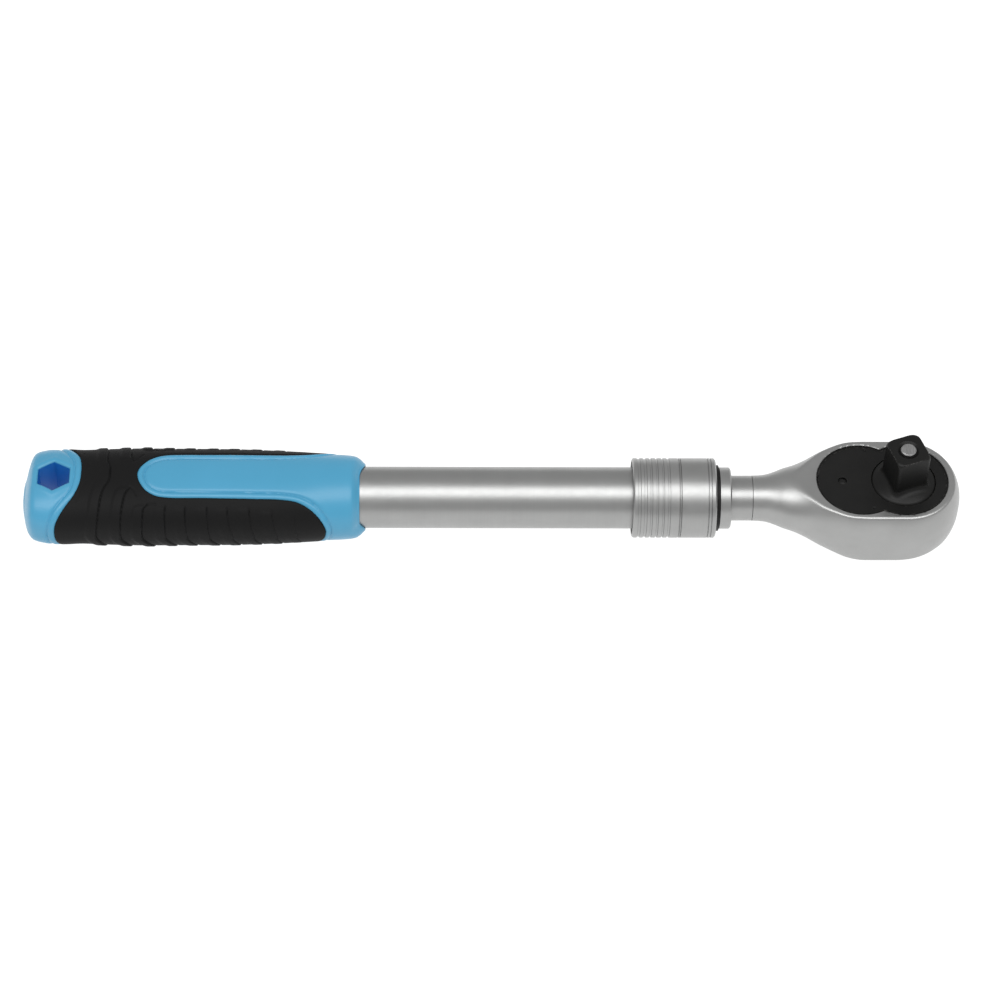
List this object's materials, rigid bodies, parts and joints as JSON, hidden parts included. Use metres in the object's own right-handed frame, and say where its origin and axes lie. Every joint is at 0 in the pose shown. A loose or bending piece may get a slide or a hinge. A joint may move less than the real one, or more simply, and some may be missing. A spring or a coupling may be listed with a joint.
{
  "type": "telescopic ratchet handle",
  "caption": "Telescopic reversible ratchet handle with a square drive, sliding lock collar and two-colour moulded grip with a hanging hole.",
  "frame": {"origin": "centre of the square drive, on the hub's shoulder that a socket rests against", "axes": "+X from the handle to the head along the bar, +Z out of the square drive, +Y to the left of the head seen from the handle with the drive up"},
  "size_m": [0.3408, 0.041, 0.0444],
  "materials": {
    "satin_chrome": "satin",
    "black_oxide": "satin",
    "bright_steel": "satin",
    "spring_steel": "satin",
    "blue_plastic": "matt",
    "black_grip": "matt",
    "plug_plastic": "matt"
  },
  "bodies": {
    "handle_tube": {"outer_tube": "satin_chrome", "handle_core": "blue_plastic", "grip_overmould": "black_grip", "tube_plug": "plug_plastic", "spring_seat": "spring_steel", "collar_clip": "black_oxide", "collar_spring": "spring_steel"},
    "head": {"ratchet_head": "satin_chrome", "inner_bar": "satin_chrome", "stop_ring": "spring_steel", "cover_plate": "black_oxide", "retaining_ring": "bright_steel", "pawl_pin": "bright_steel"},
    "drive": {"drive_gear": "black_oxide", "button_retainer": "spring_steel", "release_spring": "spring_steel"},
    "release": {"release_button": "bright_steel"},
    "detent": {"detent_ball": "bright_steel"},
    "lever": {"reversing_lever": "black_oxide", "selector_shaft": "bright_steel", "lever_pin": "bright_steel", "selector_spring": "spring_steel"},
    "plunger": {"selector_plunger": "bright_steel"},
    "pawl": {"pawl": "black_oxide"},
    "collar": {"lock_collar": "satin_chrome"},
    "ball_1": {"lock_ball_1": "bright_steel"},
    "ball_2": {"lock_ball_2": "bright_steel"},
    "ball_3": {"lock_ball_3": "bright_steel"}
  },
  "joints": [
    {"name": "telescope", "type": "slide", "parent": "handle_tube", "child": "head", "axis": [1, 0, 0], "range_m": [0, 0.138]},
    {"name": "drive_spin", "type": "hinge", "parent": "head", "child": "drive", "pos_m": [0, 0, -0.0122], "axis": [0, 0, 1], "continuous": true},
    {"name": "release_press", "type": "slide", "parent": "drive", "child": "release", "axis": [0, 0, 1], "range_m": [0, 0.003], "deforming": ["release_spring"]},
    {"name": "detent_slide", "type": "slide", "parent": "drive", "child": "detent", "axis": [0.9397, 0.342, 0], "range_m": [-0.0009, 0]},
    {"name": "lever_turn", "type": "hinge", "parent": "head", "child": "lever", "pos_m": [-0.0281, 0, -0.0235], "axis": [0, 0, 1], "range_deg": [0, 50]},
    {"name": "pawl_rock", "type": "hinge", "parent": "head", "child": "pawl", "pos_m": [-0.0222, 0, -0.0115], "axis": [0, 0, 1], "range_deg": [-12, 0]},
    {"name": "plunger_press", "type": "slide", "parent": "lever", "child": "plunger", "axis": [0.9063, -0.4226, 0], "range_m": [-0.0008, 0], "deforming": ["selector_spring"]},
    {"name": "collar_slide", "type": "slide", "parent": "handle_tube", "child": "collar", "axis": [-1, 0, 0], "range_m": [0, 0.006], "deforming": ["collar_spring"]},
    {"name": "ball_1_slide", "type": "slide", "parent": "handle_tube", "child": "ball_1", "axis": [0, 0, 1], "range_m": [0, 0.00135]},
    {"name": "ball_2_slide", "type": "slide", "parent": "handle_tube", "child": "ball_2", "axis": [0, -0.866, -0.5], "range_m": [0, 0.00135]},
    {"name": "ball_3_slide", "type": "slide", "parent": "handle_tube", "child": "ball_3", "axis": [0, 0.866, -0.5], "range_m": [0, 0.00135]}
  ],
  "couplings": [
    {"joint": "detent_slide", "follows": "release_press", "ratio": -0.3},
    {"joint": "pawl_rock", "follows": "lever_turn", "ratio": -0.24},
    {"joint": "ball_1_slide", "follows": "collar_slide", "ratio": 0.225},
    {"joint": "ball_2_slide", "follows": "collar_slide", "ratio": 0.225},
    {"joint": "ball_3_slide", "follows": "collar_slide", "ratio": 0.225}
  ]
}
